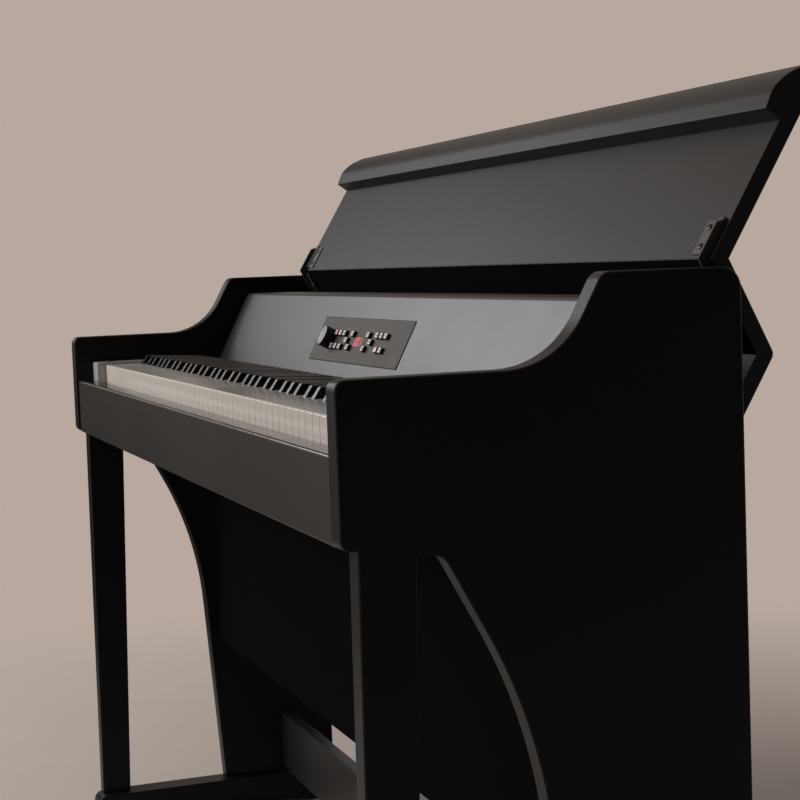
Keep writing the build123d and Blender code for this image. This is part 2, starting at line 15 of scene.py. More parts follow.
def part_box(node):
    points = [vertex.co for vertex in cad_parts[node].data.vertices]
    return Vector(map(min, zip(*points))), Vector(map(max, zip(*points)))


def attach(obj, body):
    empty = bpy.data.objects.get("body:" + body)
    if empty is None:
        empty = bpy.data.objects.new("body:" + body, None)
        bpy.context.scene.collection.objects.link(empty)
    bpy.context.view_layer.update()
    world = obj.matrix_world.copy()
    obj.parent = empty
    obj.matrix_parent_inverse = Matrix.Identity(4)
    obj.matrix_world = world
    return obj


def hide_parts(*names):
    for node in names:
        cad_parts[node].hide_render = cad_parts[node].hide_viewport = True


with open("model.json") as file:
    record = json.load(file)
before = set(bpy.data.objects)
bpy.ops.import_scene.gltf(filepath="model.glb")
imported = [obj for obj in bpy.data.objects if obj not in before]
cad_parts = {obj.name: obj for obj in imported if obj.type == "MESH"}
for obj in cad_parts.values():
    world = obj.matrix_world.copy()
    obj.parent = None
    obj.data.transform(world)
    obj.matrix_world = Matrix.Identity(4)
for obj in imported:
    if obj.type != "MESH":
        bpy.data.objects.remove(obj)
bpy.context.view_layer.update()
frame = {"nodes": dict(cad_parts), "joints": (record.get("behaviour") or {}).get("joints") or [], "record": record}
scene = bpy.context.scene

# %% [markdown]
# ## Camera
# The picture was taken from the player's right, a little above the keys, with a long lens that
# was turned slightly. A camera can be aimed with a tracking constraint, but that leaves no room
# for the turn, so its three axes are worked out here and written into its matrix.

# %% Camera
camera_place = Vector((2.07654, -0.679023, 0.85483))
azimuth = math.radians(70.65)
elevation = math.radians(4.39)
roll = math.radians(-2.14)
focal_pixels = 1786.74
picture_pixels = 800

away = Vector((
    math.sin(azimuth) * math.cos(elevation),
    -math.cos(azimuth) * math.cos(elevation),
    math.sin(elevation),
))
level_right = (-away).cross(Vector((0, 0, 1))).normalized()
level_up = level_right.cross(-away)
camera_right = math.cos(roll) * level_right + math.sin(roll) * level_up
camera_up = math.cos(roll) * level_up - math.sin(roll) * level_right


def clear_selection():
    """Leave edit mode and deselect all, because an operator acts on everything that is selected."""
    if bpy.context.mode != "OBJECT":
        bpy.ops.object.mode_set(mode="OBJECT")
    bpy.ops.object.select_all(action="DESELECT")


clear_selection()
bpy.ops.object.camera_add()
camera = bpy.context.object
turn = Matrix((camera_right, camera_up, away)).transposed().to_4x4()
camera.matrix_world = Matrix.Translation(camera_place) @ turn
camera.data.lens = focal_pixels / picture_pixels * camera.data.sensor_width
camera.data.clip_end = 60
scene.camera = camera
print("lens", round(camera.data.lens, 2), "mm")

# %% [markdown]
# ## Shader nodes in one line
# A material is a small tree of nodes. These helpers add a node, set its plain inputs and link
# the others, so that each finish below reads as a list of what feeds what.

# %% Node helpers


def feed(tree, socket, value):
    """Give a socket another node's output, or a plain value."""
    if isinstance(value, bpy.types.NodeSocket):
        tree.links.new(value, socket)
    else:
        socket.default_value = value


def new_node(tree, kind, inputs=None, **settings):
    """Add a shader node. An input is either a plain value or another node's output."""
    made = tree.nodes.new(kind)
    for name, value in settings.items():
        setattr(made, name, value)
    for name, value in (inputs or {}).items():
        feed(tree, made.inputs[name], value)
    return made


def blend_colours(tree, factor, first, second):
    """The output of a node that mixes two colours."""
    made = tree.nodes.new("ShaderNodeMix")
    made.data_type = "RGBA"
    factor_in, first_in, second_in = made.inputs[0], made.inputs[6], made.inputs[7]
    for socket, value in ((factor_in, factor), (first_in, first), (second_in, second)):
        feed(tree, socket, value)
    return made.outputs[2]


def calculate(tree, operation, first, second):
    """The output of a Math node."""
    return new_node(tree, "ShaderNodeMath", {0: first, 1: second}, operation=operation).outputs[0]


def rescale(tree, value, low, high, new_low, new_high):
    """The output of a smooth Map Range node."""
    made = new_node(tree, "ShaderNodeMapRange", {
        "Value": value, "From Min": low, "From Max": high, "To Min": new_low, "To Max": new_high,
    }, interpolation_type="SMOOTHSTEP")
    return made.outputs["Result"]


def noise(tree, spot, scale, detail):
    """The output of a Noise Texture node, a grey between 0 and 1."""
    inputs = {"Vector": spot, "Scale": scale, "Detail": detail}
    return new_node(tree, "ShaderNodeTexNoise", inputs).outputs["Fac"]


def new_material(name):
    """A node material, with its tree and its shader."""
    material = bpy.data.materials.new(name)
    material.use_nodes = True
    return material, material.node_tree, material.node_tree.nodes["Principled BSDF"]


print("node helpers ready")

# %% [markdown]
# ## Light and floor
# Black lacquer shows what stands around it more than its own colour. One large soft lamp on the
# player's left gives the pale sheen on the leaning panel, a weaker one in front lights the keys,
# and a black card on the right keeps that side dark, as photographers do. A low card on the left
# darkens what the front rail mirrors, and a high one what the lid mirrors. The cards and the
# lamps are hidden from the camera. The world is pale where the camera or a reflection looks at
# it, and dim as a light. The floor fades out with distance, so it meets that background without
# a line.

# %% Light and floor
scene.view_settings.view_transform = "Standard"
pale = (0.474, 0.397, 0.347, 1)
pale_strength = 1
ambient_strength = 0.35
floor_colour = (0.72, 0.66, 0.61, 1)
floor_wear = 0.93
floor_roughness = 0.7
floor_solid = 0.9
floor_end = 2.4
card_colour = (0.004, 0.004, 0.004, 1)


def soft_lamp(name, place, target, size, watts, tint):
    """A rectangular lamp that faces its target."""
    clear_selection()
    bpy.ops.object.light_add(type="AREA", location=place)
    lamp = bpy.context.object
    lamp.name = name
    lamp.rotation_euler = (Vector(target) - Vector(place)).to_track_quat("-Z", "Y").to_euler()
    lamp.data.shape = "RECTANGLE"
    lamp.data.size, lamp.data.size_y = size
    lamp.data.energy = watts
    lamp.data.color = tint
    lamp.visible_camera = False


def stage_plane(name, size, place, turn):
    """A plane that belongs to the studio, with the tree and the shader of its material."""
    clear_selection()
    bpy.ops.mesh.primitive_plane_add(size=size, location=place, rotation=turn)
    plane = bpy.context.object
    plane.name = name
    material, tree, shader = new_material(name)
    plane.data.materials.append(material)
    return plane, tree, shader


world = bpy.data.worlds.new("pale studio")
world.use_nodes = True
scene.world = world
tree = world.node_tree
rays = new_node(tree, "ShaderNodeLightPath")
seen = calculate(tree, "MAXIMUM", rays.outputs["Is Camera Ray"], rays.outputs["Is Glossy Ray"])
seen = calculate(tree, "MAXIMUM", seen, rays.outputs["Is Transmission Ray"])
background = tree.nodes["Background"]
background.inputs["Color"].default_value = pale
strength = rescale(tree, seen, 0, 1, ambient_strength, pale_strength)
tree.links.new(strength, background.inputs["Strength"])

soft_lamp(
    "window lamp", place=(-2.45, -1.35, 1.88), target=(0, 0, 0.8), size=(1.3, 0.8),
    watts=16.5, tint=(0.90, 0.94, 1),
)
soft_lamp(
    "front lamp", place=(-1.1, -3.0, 1.7), target=(-0.1, 0, 0.7), size=(2.0, 1.4),
    watts=66, tint=(1, 0.95, 0.9),
)

floor, tree, shader = stage_plane("floor", 2 * floor_end, (0, 0, 0), (0, 0, 0))
shader.inputs["Roughness"].default_value = floor_roughness
spot = new_node(tree, "ShaderNodeTexCoord").outputs["Object"]
mottle = noise(tree, spot, 9, 5)
worn_floor = tuple(floor_wear * channel for channel in floor_colour[:3]) + (1,)
tree.links.new(blend_colours(tree, mottle, worn_floor, floor_colour), shader.inputs["Base Color"])
reach = new_node(tree, "ShaderNodeVectorMath", {0: spot}, operation="LENGTH").outputs["Value"]
tree.links.new(rescale(tree, reach, floor_solid, floor_end, 1, 0), shader.inputs["Alpha"])

card_places = {
    "black card": (7, (4.4, 1.3, 3.0)),
    "low card": (2.8, (-3.2, -1.1, -0.65)),
    "high card": (1.0, (-3.2, 0.15, 1.7)),
}
for name, (size, place) in card_places.items():
    card, tree, shader = stage_plane(name, size, place, (0, math.radians(90), 0))
    card.visible_camera = False
    shader.inputs["Base Color"].default_value = card_colour
    shader.inputs["Specular IOR Level"].default_value = 0
print("two lamps, a floor and cards", len(card_places))

# %% [markdown]
# ## Effects that finishes share
# Paint and mouldings differ in colour and gloss, but all have faint clouds, a fine skin, edges
# that hands have rubbed, and dust on what faces up. Each effect is a node group: built once,
# with named inputs, and placed in every material with its own values. A group could also hold
# the whole shader, but then its values couldn't be read by other programs.

# %% Group helpers


def new_group(name, inputs, outputs):
    """An empty node group with named sockets, and its input and output nodes."""
    group = bpy.data.node_groups.new(name, "ShaderNodeTree")
    for socket_name, value in inputs.items():
        kind = "NodeSocketColor" if isinstance(value, tuple) else "NodeSocketFloat"
        socket = group.interface.new_socket(socket_name, in_out="INPUT", socket_type=kind)
        socket.default_value = value
    for socket_name, kind in outputs.items():
        group.interface.new_socket(socket_name, in_out="OUTPUT", socket_type="NodeSocket" + kind)
    given = group.nodes.new("NodeGroupInput")
    result = group.nodes.new("NodeGroupOutput")
    return group, given.outputs, result.inputs


def use_group(tree, group, inputs):
    """Place a node group in a material and return its outputs."""
    return new_node(tree, "ShaderNodeGroup", inputs, node_tree=group).outputs


print("group helpers ready")

# %% Clouded skin
black = (0, 0, 0, 1)
noise_low, noise_high = 0.3, 0.7
cloud_share, grain_share = 0.7, 0.3
skin, given, result = new_group(
    "clouded skin",
    {
        "Dark": black, "Pale": black, "Smooth": 0.3, "Dull": 0.5,
        "Cloud scale": 6.0, "Grain scale": 900.0,
    },
    {"Color": "Color", "Roughness": "Float", "Height": "Float"},
)
spot = new_node(skin, "ShaderNodeTexCoord").outputs["Object"]
cloud = new_node(skin, "ShaderNodeTexNoise", {
    "Vector": spot, "Scale": given["Cloud scale"], "Detail": 6, "Roughness": 0.6,
}).outputs["Fac"]
grain = noise(skin, spot, given["Grain scale"], 3)
cloud_part = calculate(skin, "MULTIPLY", cloud, cloud_share)
both = calculate(skin, "ADD", cloud_part, calculate(skin, "MULTIPLY", grain, grain_share))
skin.links.new(blend_colours(skin, both, given["Dark"], given["Pale"]), result["Color"])
spread = new_node(skin, "ShaderNodeMapRange", {
    "Value": both, "From Min": noise_low, "From Max": noise_high,
    "To Min": given["Smooth"], "To Max": given["Dull"],
}).outputs["Result"]
skin.links.new(spread, result["Roughness"])
skin.links.new(grain, result["Height"])
print(skin.name, "has", len(skin.nodes), "nodes")

# %% Rubbed edges
# Pointiness is measured at corners and fades across a face, so a low limit would cloud the boards.
crest_low, crest_high = 0.57, 0.66
patch_low, patch_high = 0.42, 0.66
rub_polish = 0.12
rub, given, result = new_group(
    "rubbed edges",
    {"Color": black, "Roughness": 0.4, "Rubbed": black, "Amount": 0.3},
    {"Color": "Color", "Roughness": "Float"},
)
spot = new_node(rub, "ShaderNodeTexCoord").outputs["Object"]
crest = new_node(rub, "ShaderNodeNewGeometry").outputs["Pointiness"]
patch = noise(rub, spot, 22, 8)
on_crest = rescale(rub, crest, crest_low, crest_high, 0, 1)
mask = calculate(rub, "MULTIPLY", on_crest, rescale(rub, patch, patch_low, patch_high, 0, 1))
mask = calculate(rub, "MULTIPLY", mask, given["Amount"])
rub.links.new(blend_colours(rub, mask, given["Color"], given["Rubbed"]), result["Color"])
polish = calculate(rub, "MULTIPLY", mask, rub_polish)
smoother = calculate(rub, "SUBTRACT", given["Roughness"], polish)
rub.links.new(smoother, result["Roughness"])
print(rub.name, "has", len(rub.nodes), "nodes")

# %% Settled dust
dust_colour = (0.42, 0.39, 0.36, 1)
steepest = 0.35
drift_range, drift_least = (0.35, 0.75), 0.2
speck_range, speck_least = (0.5, 0.78), 0.1
dust_dulling = 0.5
dust, given, result = new_group(
    "settled dust",
    {"Color": black, "Roughness": 0.4, "Amount": 0.2},
    {"Color": "Color", "Roughness": "Float"},
)
spot = new_node(dust, "ShaderNodeTexCoord").outputs["Object"]
facing = new_node(dust, "ShaderNodeNewGeometry").outputs["Normal"]
upward = new_node(dust, "ShaderNodeSeparateXYZ", {"Vector": facing}).outputs["Z"]
drift = noise(dust, spot, 11, 5)
specks = noise(dust, spot, 1300, 2)
on_top = rescale(dust, upward, steepest, 1, 0, 1)
mask = calculate(dust, "MULTIPLY", on_top, rescale(dust, drift, *drift_range, drift_least, 1))
mask = calculate(dust, "MULTIPLY", mask, rescale(dust, specks, *speck_range, speck_least, 1))
mask = calculate(dust, "MULTIPLY", mask, given["Amount"])
dust.links.new(blend_colours(dust, mask, given["Color"], dust_colour), result["Color"])
dulling = calculate(dust, "MULTIPLY", mask, dust_dulling)
duller = calculate(dust, "ADD", given["Roughness"], dulling)
dust.links.new(duller, result["Roughness"])
print(dust.name, "has", len(dust.nodes), "nodes")

# %% [markdown]
# ## Paints and mouldings
# The cabinet is board with a satin black lacquer, the panel behind the keys and the keys are
# mouldings. They could each have their own tree, but they only differ in numbers, so one recipe
# makes them all: the skin gives colour, gloss and a fine bump, then come rubbed edges and dust.

# %% Coated finishes


def grey(level, warmth=0.0):
    """A grey, a little warm or cool."""
    return (level * (1 + warmth), level, level * (1 - warmth), 1)


def wire_surface(tree, shader, surface, dust_amount, height, depth):
    """Feed the shader with a surface's colour and gloss under dust, and with a bump."""
    dusty = use_group(tree, dust, {
        "Color": surface["Color"], "Roughness": surface["Roughness"], "Amount": dust_amount,
    })
    bump = new_node(tree, "ShaderNodeBump", {"Height": height, "Distance": depth, "Strength": 1})
    tree.links.new(dusty["Color"], shader.inputs["Base Color"])
    tree.links.new(dusty["Roughness"], shader.inputs["Roughness"])
    tree.links.new(bump.outputs["Normal"], shader.inputs["Normal"])


def coated(name, dark, pale, roughness, specular, skin_values, rubbed, rub_amount, dust_amount):
    """A finish with a fine skin. skin_values are its cloud scale, grain scale and grain depth."""
    material, tree, shader = new_material(name)
    shader.inputs["Specular IOR Level"].default_value = specular
    cloud_scale, grain_scale, grain_depth = skin_values
    smooth, dull = roughness
    surface = use_group(tree, skin, {
        "Dark": dark, "Pale": pale, "Smooth": smooth, "Dull": dull,
        "Cloud scale": cloud_scale, "Grain scale": grain_scale,
    })
    handled = use_group(tree, rub, {
        "Color": surface["Color"], "Roughness": surface["Roughness"],
        "Rubbed": rubbed, "Amount": rub_amount,
    })
    wire_surface(tree, shader, handled, dust_amount, surface["Height"], grain_depth)
    return material


cabinet_lacquer = coated(
    "cabinet lacquer", dark=grey(0.0110, 0.03), pale=grey(0.0135, 0.03),
    roughness=(0.38, 0.43), specular=0.5, skin_values=(5, 700, 0.00002),
    rubbed=grey(0.05, 0.04), rub_amount=0.25, dust_amount=0.05,
)
side_lacquer = coated(
    "side board lacquer", dark=grey(0.0060, 0.02), pale=grey(0.0080, 0.02),
    roughness=(0.38, 0.44), specular=0.2, skin_values=(5, 700, 0.00002),
    rubbed=grey(0.03, 0.04), rub_amount=0.2, dust_amount=0.05,
)
polished_lacquer = coated(
    "polished lacquer", dark=grey(0.010, 0.02), pale=grey(0.014, 0.02),
    roughness=(0.15, 0.21), specular=0.6, skin_values=(8, 900, 0.000004),
    rubbed=grey(0.05, 0.04), rub_amount=0.2, dust_amount=0.02,
)
lid_lacquer = coated(
    "lid lacquer", dark=grey(0.0075, 0.03), pale=grey(0.0095, 0.03),
    roughness=(0.44, 0.47), specular=0.3, skin_values=(3, 700, 0.00002),
    rubbed=grey(0.05, 0.04), rub_amount=0.2, dust_amount=0.05,
)
# Painted shade: near-black flat paint without sheen stands in for the shade on the knee board and on the lid's
# slope where it looks at the keys.
painted_shade_paint = coated(
    "painted shade flat paint", dark=grey(0.0028, 0.03), pale=grey(0.0036, 0.03),
    roughness=(0.78, 0.82), specular=0.01, skin_values=(5, 700, 0.00004),
    rubbed=grey(0.03, 0.04), rub_amount=0.2, dust_amount=0.02,
)
panel_moulding = coated(
    "panel moulding", dark=grey(0.016, -0.01), pale=grey(0.022, -0.01),
    roughness=(0.34, 0.40), specular=0.5, skin_values=(9, 1600, 0.00003),
    rubbed=grey(0.06), rub_amount=0.25, dust_amount=0.05,
)
white_moulding = coated(
    "white key moulding", dark=(0.74, 0.70, 0.655, 1), pale=(0.82, 0.78, 0.735, 1),
    roughness=(0.10, 0.17), specular=0.5, skin_values=(14, 1100, 0.000004),
    rubbed=(0.84, 0.80, 0.76, 1), rub_amount=0.3, dust_amount=0.02,
)
black_moulding = coated(
    "black key moulding", dark=grey(0.008), pale=grey(0.012),
    roughness=(0.22, 0.30), specular=0.32, skin_values=(18, 1900, 0.000015),
    rubbed=grey(0.06), rub_amount=0.3, dust_amount=0.01,
)
cheek_moulding = coated(
    "cheek block moulding", dark=grey(0.46, 0.02), pale=grey(0.54, 0.02),
    roughness=(0.26, 0.34), specular=0.5, skin_values=(12, 1300, 0.00003),
    rubbed=grey(0.5), rub_amount=0.3, dust_amount=0.04,
)
plate_film = coated(
    "control plate film", dark=(0.044, 0.035, 0.031, 1), pale=(0.060, 0.048, 0.043, 1),
    roughness=(0.52, 0.62), specular=0.25, skin_values=(30, 2600, 0.00001),
    rubbed=(0.3, 0.28, 0.27, 1), rub_amount=0.5, dust_amount=0.03,
)
black_cap = coated(
    "black cap moulding", dark=grey(0.006), pale=grey(0.010),
    roughness=(0.34, 0.44), specular=0.4, skin_values=(60, 3000, 0.00001),
    rubbed=grey(0.05), rub_amount=0.2, dust_amount=0.0,
)
pale_cap = coated(
    "pale cap moulding", dark=grey(0.52), pale=grey(0.62),
    roughness=(0.30, 0.40), specular=0.5, skin_values=(70, 2600, 0.00001),
    rubbed=grey(0.75), rub_amount=0.2, dust_amount=0.02,
)
# Painted reflection: the knob's face is grey to stand in for the light that its black face reflects.
knob_painted_reflection = coated(
    "knob face painted reflection", dark=grey(0.20), pale=grey(0.30),
    roughness=(0.34, 0.44), specular=0.4, skin_values=(140, 2600, 0.00001),
    rubbed=grey(0.4), rub_amount=0.2, dust_amount=0.02,
)
arm_paint = coated(
    "arm paint", dark=grey(0.030, 0.08), pale=grey(0.042, 0.08),
    roughness=(0.45, 0.55), specular=0.4, skin_values=(20, 900, 0.00003),
    rubbed=grey(0.20, 0.04), rub_amount=0.5, dust_amount=0.05,
)
plate_paint = coated(
    "arm plate paint", dark=grey(0.055, 0.08), pale=grey(0.075, 0.08),
    roughness=(0.45, 0.55), specular=0.4, skin_values=(40, 900, 0.00003),
    rubbed=grey(0.20, 0.04), rub_amount=0.4, dust_amount=0.05,
)
rubber = coated(
    "rubber", dark=grey(0.016), pale=grey(0.026),
    roughness=(0.62, 0.75), specular=0.3, skin_values=(40, 1500, 0.00003),
    rubbed=grey(0.05), rub_amount=0.3, dust_amount=0.12,
)
housing = coated(
    "housing moulding", dark=grey(0.014), pale=grey(0.022),
    roughness=(0.48, 0.58), specular=0.4, skin_values=(12, 1300, 0.00005),
    rubbed=grey(0.06), rub_amount=0.4, dust_amount=0.1,
)
print("coated finishes", skin.users)

# %% [markdown]
# ## Metals, lights and small finishes
# Metal is all reflection, so its tree is about fine lines that scratch the gloss. Noise that is
# stretched along one axis gives such lines without a picture. The lights of the display and the
# buttons only need a colour that glows, weaker in places. The finishes after them are coated
# ones again, for the display's filter, the print, the circuit board and the speakers' paper.

# %% Brushed metals
metal_dust = 0.05
line_depth = 0.00001
line_stretch = (30, 900, 900)
brush, given, result = new_group(
    "brushed lines",
    {"Dark": black, "Pale": black, "Smooth": 0.2, "Dull": 0.4},
    {"Color": "Color", "Roughness": "Float", "Height": "Float"},
)
spot = new_node(brush, "ShaderNodeTexCoord").outputs["Object"]
drawn = new_node(brush, "ShaderNodeMapping", {"Vector": spot, "Scale": line_stretch})
lines = noise(brush, drawn.outputs["Vector"], 1.5, 4)
brush.links.new(blend_colours(brush, lines, given["Dark"], given["Pale"]), result["Color"])
spread = new_node(brush, "ShaderNodeMapRange", {
    "Value": lines, "From Min": noise_low, "From Max": noise_high,
    "To Min": given["Smooth"], "To Max": given["Dull"],
}).outputs["Result"]
brush.links.new(spread, result["Roughness"])
brush.links.new(lines, result["Height"])


def brushed(name, dark, pale, roughness):
    """A metal with fine lines along X."""
    material, tree, shader = new_material(name)
    shader.inputs["Metallic"].default_value = 1
    smooth, dull = roughness
    surface = use_group(tree, brush, {"Dark": dark, "Pale": pale, "Smooth": smooth, "Dull": dull})
    wire_surface(tree, shader, surface, metal_dust, surface["Height"], line_depth)
    return material


zinc = brushed("zinc plate", dark=grey(0.38), pale=grey(0.55), roughness=(0.24, 0.36))
aluminium = brushed("mill aluminium", dark=grey(0.50), pale=grey(0.66), roughness=(0.30, 0.42))
brass = brushed(
    "pedal brass", dark=(0.60, 0.44, 0.20, 1), pale=(0.76, 0.58, 0.30, 1), roughness=(0.14, 0.24),
)
black_plating = brushed("black plating", dark=grey(0.05), pale=grey(0.09), roughness=(0.36, 0.48))
print("brushed metals", brush.users)

# %% Lights and small finishes
weak_light = 0.7
lens_roughness = 0.3


def glowing(name, body, colour, strength):
    """A dark lens with a light behind it that is weaker in places."""
    material, tree, shader = new_material(name)
    spot = new_node(tree, "ShaderNodeTexCoord").outputs["Object"]
    uneven = noise(tree, spot, 700, 2)
    weak = tuple(weak_light * channel for channel in colour[:3]) + (1,)
    tree.links.new(blend_colours(tree, uneven, weak, colour), shader.inputs["Emission Color"])
    shader.inputs["Base Color"].default_value = body
    shader.inputs["Roughness"].default_value = lens_roughness
    shader.inputs["Emission Strength"].default_value = strength
    return material


led_red = glowing(
    "display light", body=(0.10, 0.004, 0.008, 1), colour=(1, 0.03, 0.10, 1), strength=1.2,
)
button_red = glowing(
    "button light", body=(0.30, 0.03, 0.04, 1), colour=(1, 0.22, 0.24, 1), strength=1.1,
)
display_glass = coated(
    "display filter", dark=(0.060, 0.030, 0.030, 1), pale=(0.080, 0.042, 0.040, 1),
    roughness=(0.46, 0.56), specular=0.25, skin_values=(50, 2000, 0.000002),
    rubbed=grey(0.1), rub_amount=0.1, dust_amount=0.03,
)
print_ink = coated(
    "print on the plate", dark=grey(0.16, 0.06), pale=grey(0.24, 0.06),
    roughness=(0.55, 0.65), specular=0.3, skin_values=(90, 2600, 0.000002),
    rubbed=grey(0.1), rub_amount=0.1, dust_amount=0.0,
)
circuit = coated(
    "circuit board", dark=(0.010, 0.060, 0.028, 1), pale=(0.016, 0.090, 0.040, 1),
    roughness=(0.30, 0.42), specular=0.5, skin_values=(120, 1800, 0.00002),
    rubbed=(0.35, 0.27, 0.12, 1), rub_amount=0.5, dust_amount=0.05,
)
paper_cone = coated(
    "paper cone", dark=grey(0.014, 0.03), pale=grey(0.035, 0.03),
    roughness=(0.75, 0.88), specular=0.2, skin_values=(60, 1500, 0.0001),
    rubbed=grey(0.05), rub_amount=0.2, dust_amount=0.1,
)
print("materials", len(bpy.data.materials))

# %% [markdown]
# ## Rounded boards
# Real boards and mouldings never have a knife edge, and a black object is mostly seen by the thin
# lines of light on its edges. The solids are copied, their loose triangles are welded and the
# flat faces cleared, and a Bevel modifier rounds what is left. Modelling each board again from
# a cube would give the same shape with more work, and could miss its place.

# %% Rounding helpers
weld_distance = 0.000002
flat_angle = math.radians(0.5)
edge_angle = math.radians(28)
smooth_angle = math.radians(40)


def activate(piece):
    """Make one object the only selected one, in object mode."""
    clear_selection()
    piece.select_set(True)
    bpy.context.view_layer.objects.active = piece


def apply_modifier(piece, kind, **settings):
    """Add a modifier and apply it at once."""
    activate(piece)
    modifier = piece.modifiers.new(kind.lower(), kind)
    for name, value in settings.items():
        setattr(modifier, name, value)
    bpy.ops.object.modifier_apply(modifier=modifier.name)


def round_edges(piece, radius, segments=2, clamp=True):
    """Round the sharp edges, and shade the curved faces smooth."""
    activate(piece)
    bpy.ops.object.shade_smooth_by_angle(angle=smooth_angle)
    apply_modifier(
        piece, "BEVEL", width=radius, segments=segments, use_clamp_overlap=clamp,
        limit_method="ANGLE", angle_limit=edge_angle,
    )
    apply_modifier(piece, "WEIGHTED_NORMAL", mode="FACE_AREA", weight=100, keep_sharp=True)


def welded_copy(node, name, split=False):
    """A copy of a solid with shared corners and whole flat faces. split cuts the concave ones."""
    piece = bpy.data.objects.new(name, frame["nodes"][node].data.copy())
    scene.collection.objects.link(piece)
    piece.data.materials.clear()
    activate(piece)
    bpy.ops.mesh.customdata_custom_splitnormals_clear()
    bpy.ops.object.mode_set(mode="EDIT")
    bpy.ops.mesh.select_all(action="SELECT")
    bpy.ops.mesh.remove_doubles(threshold=weld_distance)
    bpy.ops.mesh.dissolve_limited(angle_limit=flat_angle)
    if split:
        bpy.ops.mesh.vert_connect_concave()
    bpy.ops.object.mode_set(mode="OBJECT")
    return piece


def hand_over(piece, body, slot, *nodes):
    """Let a finished piece ride on its body, and stand for the solids that it replaces."""
    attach(piece, body)
    if nodes:
        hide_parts(*nodes)


slot_of = {part["node"]: part["material_slot"] for part in frame["record"]["subparts"]}
bodies = frame["record"]["behaviour"]["bodies"]
body_of = {node: body for body, members in bodies.items() for node in members}


def dress(node, finish, radius, clamp=False, split=False):
    """Replace a solid by its rounded copy in a finish."""
    piece = welded_copy(node, "dressed_" + node, split)
    round_edges(piece, radius, clamp=clamp)
    piece.data.materials.append(finish)
    hand_over(piece, body_of[node], slot_of[node], node)
    return piece


print("rounding helpers ready")

# %% [markdown]
# ## Cabinet and stand
# Each board has its own radius, in millimetres: wide on the side boards, which hands and knees
# touch, and narrow where two boards meet. The lid's boards are a little more matt than the
# cabinet, and the board in front of the knees has a near-black flat paint as painted shade.

# %% Cabinet and stand
millimetre = 0.001
board_edges = {
    "side_panel_left": (side_lacquer, 1.6), "side_panel_right": (side_lacquer, 1.6),
    "foot_rails": (side_lacquer, 1.5),
    "keybed": (cabinet_lacquer, 0.8), "rear_inner_board": (cabinet_lacquer, 0.8),
    "back_panel": (cabinet_lacquer, 0.8), "pedal_rail": (cabinet_lacquer, 1.2),
    "keyslip": (cabinet_lacquer, 0.8), "key_cover_board": (lid_lacquer, 0.6),
    "top_board": (lid_lacquer, 0.8), "nose_rail": (lid_lacquer, 0.9),
    "slope_board": (lid_lacquer, 0.6), "fallboard": (panel_moulding, 1.0),
    "knee_board": (painted_shade_paint, 1.0), "cheek_blocks": (cheek_moulding, 1.0),
}
boards = {
    node: dress(node, finish, edge * millimetre, split=(node == "fallboard"))
    for node, (finish, edge) in board_edges.items()
}
print("boards", len(boards))

# %% [markdown]
# ## Keys, pedals and fittings
# The keys of one note name are one piece, as they move together. White keys have a smaller
# radius than black ones, whose rounded backs show as pale lines. The other solids follow
# with the finish that each is made of. The pedals and their box have short edges, so there the
# bevel stops where two of them meet.

# %% Keys
white_edge, black_edge = 0.4 * millimetre, 0.7 * millimetre
key_nodes = [node for node in frame["nodes"] if node.startswith("keys_")]
for node in key_nodes:
    if node.endswith("_sharp"):
        dress(node, black_moulding, black_edge)
    else:
        dress(node, white_moulding, white_edge)
print("key pieces", len(key_nodes))

# %% Other solids
others = {
    "lid_arms": (arm_paint, 0.4), "lid_pins": (zinc, 0.4), "lid_stops": (rubber, 0.8),
    "lid_bumpers": (rubber, 1.2), "floor_glides": (rubber, 1.2), "key_frame": (aluminium, 0.4),
    "control_plate": (plate_film, 0.4), "display_window": (display_glass, 0.2),
    "main_board": (circuit, 0.2), "pedal_box": (housing, 0.8),
    "pedal_soft": (brass, 0.8), "pedal_sostenuto": (brass, 0.8), "pedal_damper": (brass, 0.8),
}
for node, (finish, edge) in others.items():
    dress(node, finish, edge * millimetre, clamp=node.startswith("pedal"))
print("other pieces", len(others))

# %% [markdown]
# ## Faces by hand
# From here on, pieces are modelled from a block or a cylinder. By hand, one would click on the
# faces to work on. In a script they are picked by where they lie and which way they look, and
# the next operator then acts on that selection only.

# %% Modelling helpers
level_limit = 0.99


def flat_block(name, size, finish):
    """A block at the origin, which the next steps shape."""
    clear_selection()
    bpy.ops.mesh.primitive_cube_add(size=1, scale=size)
    piece = bpy.context.object
    piece.name = name
    bpy.ops.object.transform_apply(location=True, rotation=True, scale=True)
    piece.data.materials.append(finish)
    return piece


def upright_cylinder(name, sides, radius, height, finish):
    """A cylinder at the origin, which the next steps shape."""
    clear_selection()
    bpy.ops.mesh.primitive_cylinder_add(vertices=sides, radius=radius, depth=height)
    piece = bpy.context.object
    piece.name = name
    piece.data.materials.append(finish)
    return piece


def choose_faces(piece, test):
    """Select the faces whose middle and direction pass a test, and go to edit mode."""
    activate(piece)
    bpy.ops.object.mode_set(mode="EDIT")
    bpy.ops.mesh.select_mode(type="FACE")
    bpy.ops.mesh.select_all(action="DESELECT")
    bpy.ops.object.mode_set(mode="OBJECT")
    for face in piece.data.polygons:
        face.select = test(face.center, face.normal)
    bpy.ops.object.mode_set(mode="EDIT")


def looks_up(middle, normal):
    """Whether a face is level and looks up."""
    return normal.z > level_limit


def looks_down(middle, normal):
    """Whether a face is level and looks down."""
    return normal.z < -level_limit


def paint_chosen(piece, finish):
    """Give the selected faces a finish of their own."""
    piece.data.materials.append(finish)
    piece.active_material_index = len(piece.data.materials) - 1
    bpy.ops.object.material_slot_assign()


def carry(piece, place):
    """Move a piece to its place, and write the place into its mesh."""
    activate(piece)
    piece.matrix_world = place
    bpy.ops.object.transform_apply(location=True, rotation=True, scale=True)


def placed_copy(piece, name, place):
    """A copy with its own mesh, carried to its place."""
    activate(piece)
    bpy.ops.object.duplicate()
    copy = bpy.context.object
    copy.name = name
    carry(copy, place)
    return copy


